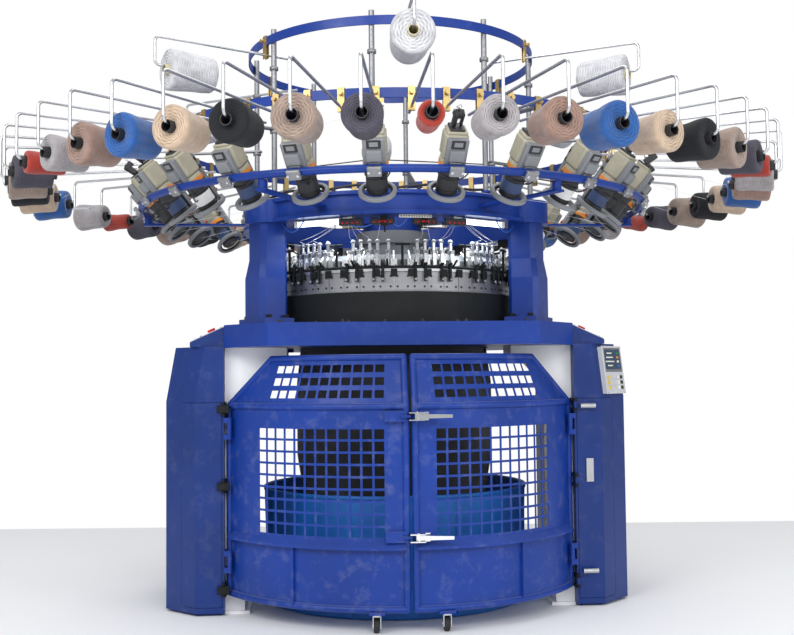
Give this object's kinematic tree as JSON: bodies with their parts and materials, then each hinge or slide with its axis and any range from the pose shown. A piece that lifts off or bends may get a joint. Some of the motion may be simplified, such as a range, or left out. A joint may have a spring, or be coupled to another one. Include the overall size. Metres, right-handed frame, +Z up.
{
  "type": "circular knitting machine",
  "caption": "Large-diameter circular knitting machine with a ring creel of yarn cones on hooked rods, yarn feeders, a caged fabric space with swinging doors and side cabinets.",
  "frame": {"origin": "on the needle cylinder's axis at floor level", "axes": "+Z up, -Y the front with the two safety doors, +X the operator's right"},
  "size_m": [3.813, 3.813, 2.76],
  "materials": {
    "machine_blue": "gloss enamel with light wear",
    "leg_white": "satin enamel",
    "black_steel": "satin black",
    "hinge_blue": "gloss enamel",
    "cut_steel": "ground and oiled",
    "grey_metal": "satin grey",
    "belt_rubber": "matte",
    "fabric_dark": "knitted",
    "tub_blue": "coated cloth",
    "lamp_white": "glowing tube",
    "feeder_beige": "moulded",
    "spool_dark": "polished",
    "ring_grey": "satin",
    "zinc": "bright zinc",
    "yellow_zinc": "yellow zinc",
    "yarn_mixed": "wound yarn",
    "yarn_white": "wound yarn",
    "paper_core": "plain",
    "panel_grey": "satin",
    "bright_chrome": "polished",
    "stop_red": "gloss",
    "start_green": "gloss",
    "caster_steel": "plated",
    "caster_rubber": "matte"
  },
  "bodies": {
    "machine": {"back_column": "machine_blue", "back_leg": "leg_white", "bed_plate": "machine_blue", "cabinet_hinges": "black_steel", "cam_levers": "black_steel", "cam_ring": "cut_steel", "centre_drum": "grey_metal", "column_bolts": "black_steel", "cone_cores": "paper_core", "cone_rods": "zinc", "control_panels": "panel_grey", "creel_clamps": "yellow_zinc", "creel_frame": "grey_metal", "creel_ring": "machine_blue", "door_hinges": "hinge_blue", "drive_belt": "belt_rubber", "drive_motor": "grey_metal", "fabric_tub": "tub_blue", "feeder_arms": "machine_blue", "feeder_guide_rings": "ring_grey", "feeder_housings": "feeder_beige", "feeder_ring": "machine_blue", "feeder_spools": "spool_dark", "gear_cover": "black_steel", "left_cabinet": "machine_blue", "left_column": "machine_blue", "left_leg": "leg_white", "oil_canister": "grey_metal", "right_cabinet": "machine_blue", "right_column": "machine_blue", "right_leg": "leg_white", "sinker_ring": "grey_metal", "stop_motion_boxes": "black_steel", "strip_lights": "lamp_white", "upper_plate": "machine_blue", "upper_ring": "machine_blue", "upright_shaft": "machine_blue", "white_cones": "yarn_white", "yarn_cones": "yarn_mixed", "yarn_guides": "cut_steel"},
    "right_door": {"right_door": "machine_blue", "latch_bases": "bright_chrome"},
    "left_door": {"left_door": "machine_blue"},
    "upper_latch": {"upper_latch": "bright_chrome"},
    "lower_latch": {"lower_latch": "bright_chrome"},
    "right_caster_fork": {"right_caster_fork": "caster_steel"},
    "right_caster_wheel": {"right_caster_wheel": "caster_rubber"},
    "left_caster_fork": {"left_caster_fork": "caster_steel"},
    "left_caster_wheel": {"left_caster_wheel": "caster_rubber"},
    "right_cabinet_door": {"right_cabinet_door": "machine_blue", "cabinet_door_fittings": "bright_chrome"},
    "left_cabinet_door": {"left_cabinet_door": "machine_blue"},
    "cylinder": {"needle_cylinder": "cut_steel", "fabric_tube": "fabric_dark"},
    "drive_shaft": {"drive_shaft": "cut_steel"},
    "motor_pulley": {"motor_pulley": "cut_steel"},
    "right_stop_button": {"right_stop_button": "stop_red"},
    "left_stop_button": {"left_stop_button": "stop_red"},
    "right_start_button": {"right_start_button": "start_green"},
    "left_start_button": {"left_start_button": "start_green"}
  },
  "joints": [
    {"name": "cylinder_spin", "type": "hinge", "parent": "machine", "child": "cylinder", "pos_m": [0, 0, 1.34], "axis": [0, 0, 1], "continuous": true},
    {"name": "drive_shaft_spin", "type": "hinge", "parent": "machine", "child": "drive_shaft", "pos_m": [-0.55, 0, 1.25], "axis": [0, 0, 1], "continuous": true},
    {"name": "motor_pulley_spin", "type": "hinge", "parent": "machine", "child": "motor_pulley", "pos_m": [-0.96, 0, 1.15], "axis": [0, 0, 1], "continuous": true},
    {"name": "right_door_swing", "type": "hinge", "parent": "machine", "child": "right_door", "pos_m": [0.8, -0.47, 0.6], "axis": [0, 0, -1], "range_deg": [-90, 0]},
    {"name": "left_door_swing", "type": "hinge", "parent": "machine", "child": "left_door", "pos_m": [-0.8, -0.47, 0.6], "axis": [0, 0, 1], "range_deg": [-90, 0]},
    {"name": "right_cabinet_door_swing", "type": "hinge", "parent": "machine", "child": "right_cabinet_door", "pos_m": [0.829, -0.46, 0.6], "axis": [0, 0, -1], "range_deg": [0, 90]},
    {"name": "left_cabinet_door_swing", "type": "hinge", "parent": "machine", "child": "left_cabinet_door", "pos_m": [-0.829, -0.46, 0.6], "axis": [0, 0, 1], "range_deg": [0, 90]},
    {"name": "upper_latch_turn", "type": "hinge", "parent": "right_door", "child": "upper_latch", "pos_m": [0.026, -0.944, 0.923], "axis": [0, 0, -1], "range_deg": [0, 100]},
    {"name": "lower_latch_turn", "type": "hinge", "parent": "right_door", "child": "lower_latch", "pos_m": [0.026, -0.944, 0.41], "axis": [0, 0, -1], "range_deg": [0, 100]},
    {"name": "right_caster_swivel", "type": "hinge", "parent": "right_door", "child": "right_caster_fork", "pos_m": [0.15093, -0.89233, 0.08], "axis": [0, 0, 1], "continuous": true},
    {"name": "right_caster_roll", "type": "hinge", "parent": "right_caster_fork", "child": "right_caster_wheel", "pos_m": [0.15093, -0.86633, 0.033], "axis": [1, 0, 0], "continuous": true},
    {"name": "left_caster_swivel", "type": "hinge", "parent": "left_door", "child": "left_caster_fork", "pos_m": [-0.15093, -0.89233, 0.08], "axis": [0, 0, 1], "continuous": true},
    {"name": "left_caster_roll", "type": "hinge", "parent": "left_caster_fork", "child": "left_caster_wheel", "pos_m": [-0.15093, -0.86633, 0.033], "axis": [1, 0, 0], "continuous": true},
    {"name": "right_stop_press", "type": "slide", "parent": "machine", "child": "right_stop_button", "axis": [-0.4104, 0, -0.9119], "range_m": [0, 0.005], "stiffness_N_per_m": 800},
    {"name": "left_stop_press", "type": "slide", "parent": "machine", "child": "left_stop_button", "axis": [0.4104, 0, -0.9119], "range_m": [0, 0.005], "stiffness_N_per_m": 800},
    {"name": "right_start_press", "type": "slide", "parent": "machine", "child": "right_start_button", "axis": [-0.4104, 0, -0.9119], "range_m": [0, 0.005], "stiffness_N_per_m": 800},
    {"name": "left_start_press", "type": "slide", "parent": "machine", "child": "left_start_button", "axis": [0.4104, 0, -0.9119], "range_m": [0, 0.005], "stiffness_N_per_m": 800}
  ],
  "couplings": [
    {"joint": "drive_shaft_spin", "follows": "cylinder_spin", "ratio": -10},
    {"joint": "motor_pulley_spin", "follows": "cylinder_spin", "ratio": -10}
  ]
}
